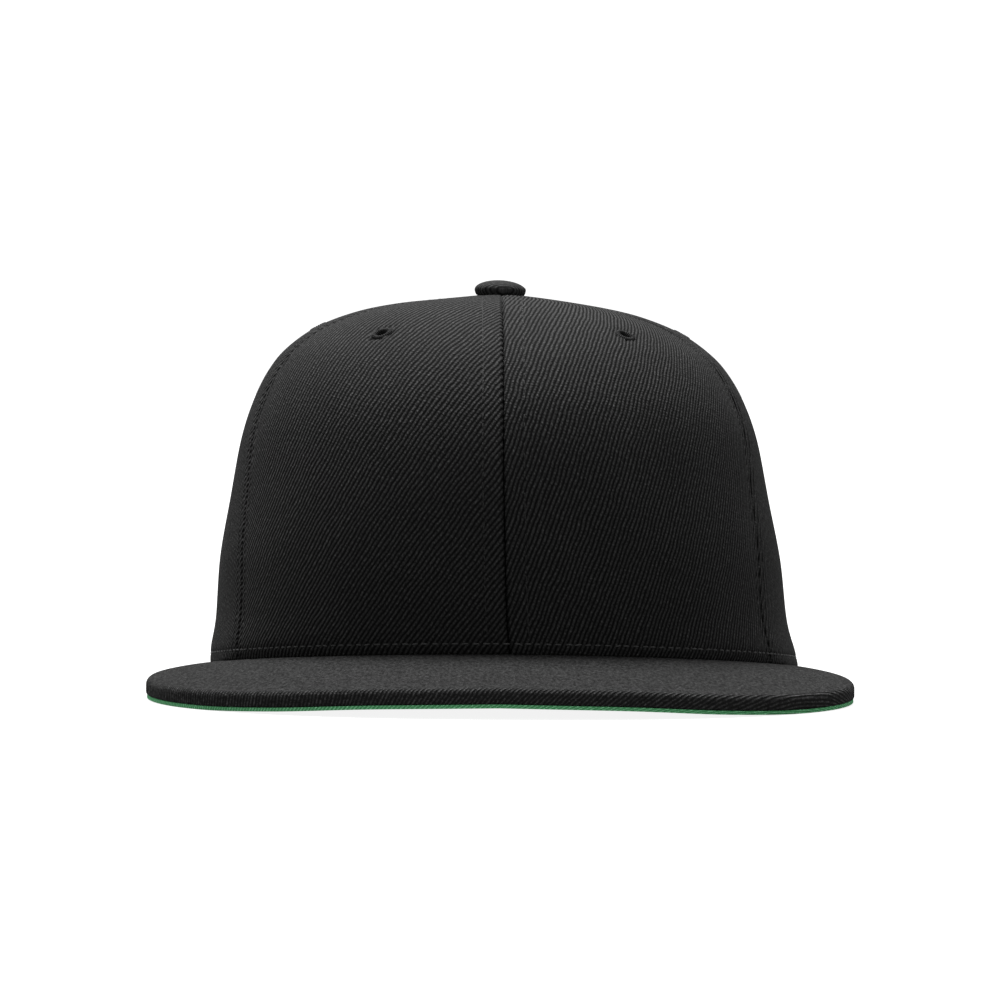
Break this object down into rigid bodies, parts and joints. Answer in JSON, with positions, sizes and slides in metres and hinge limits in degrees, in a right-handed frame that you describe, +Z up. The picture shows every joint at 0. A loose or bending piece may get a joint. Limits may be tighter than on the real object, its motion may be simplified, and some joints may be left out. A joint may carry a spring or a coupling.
{
  "type": "snapback cap",
  "caption": "High-crown snapback cap with a flat visor, black twill panels, a covered button and a green underside, resting on its rim and visor.",
  "frame": {"origin": "centre of the bounding box, on the plane the cap rests on", "axes": "+Z up, -Y towards the front of the visor, +X to the right of a viewer who faces the front"},
  "size_m": [0.1967, 0.2679, 0.1188],
  "materials": {
    "crown_twill": "matt twill",
    "eyelet_thread": "matt thread",
    "green_cloth": "matt plain cloth",
    "band_cloth": "matt plain cloth",
    "strap_plastic": "satin"
  },
  "bodies": {
    "root": {"panel_front_left": "crown_twill", "panel_front_right": "crown_twill", "panel_side_left": "crown_twill", "panel_side_right": "crown_twill", "panel_back_left": "crown_twill", "panel_back_right": "crown_twill", "eyelet_front_left": "eyelet_thread", "eyelet_front_right": "eyelet_thread", "eyelet_side_left": "eyelet_thread", "eyelet_side_right": "eyelet_thread", "eyelet_back_left": "eyelet_thread", "eyelet_back_right": "eyelet_thread", "top_button": "crown_twill", "visor_top": "crown_twill", "visor_under": "green_cloth", "sweatband": "band_cloth", "snap_strap": "strap_plastic"}
  },
  "joints": []
}
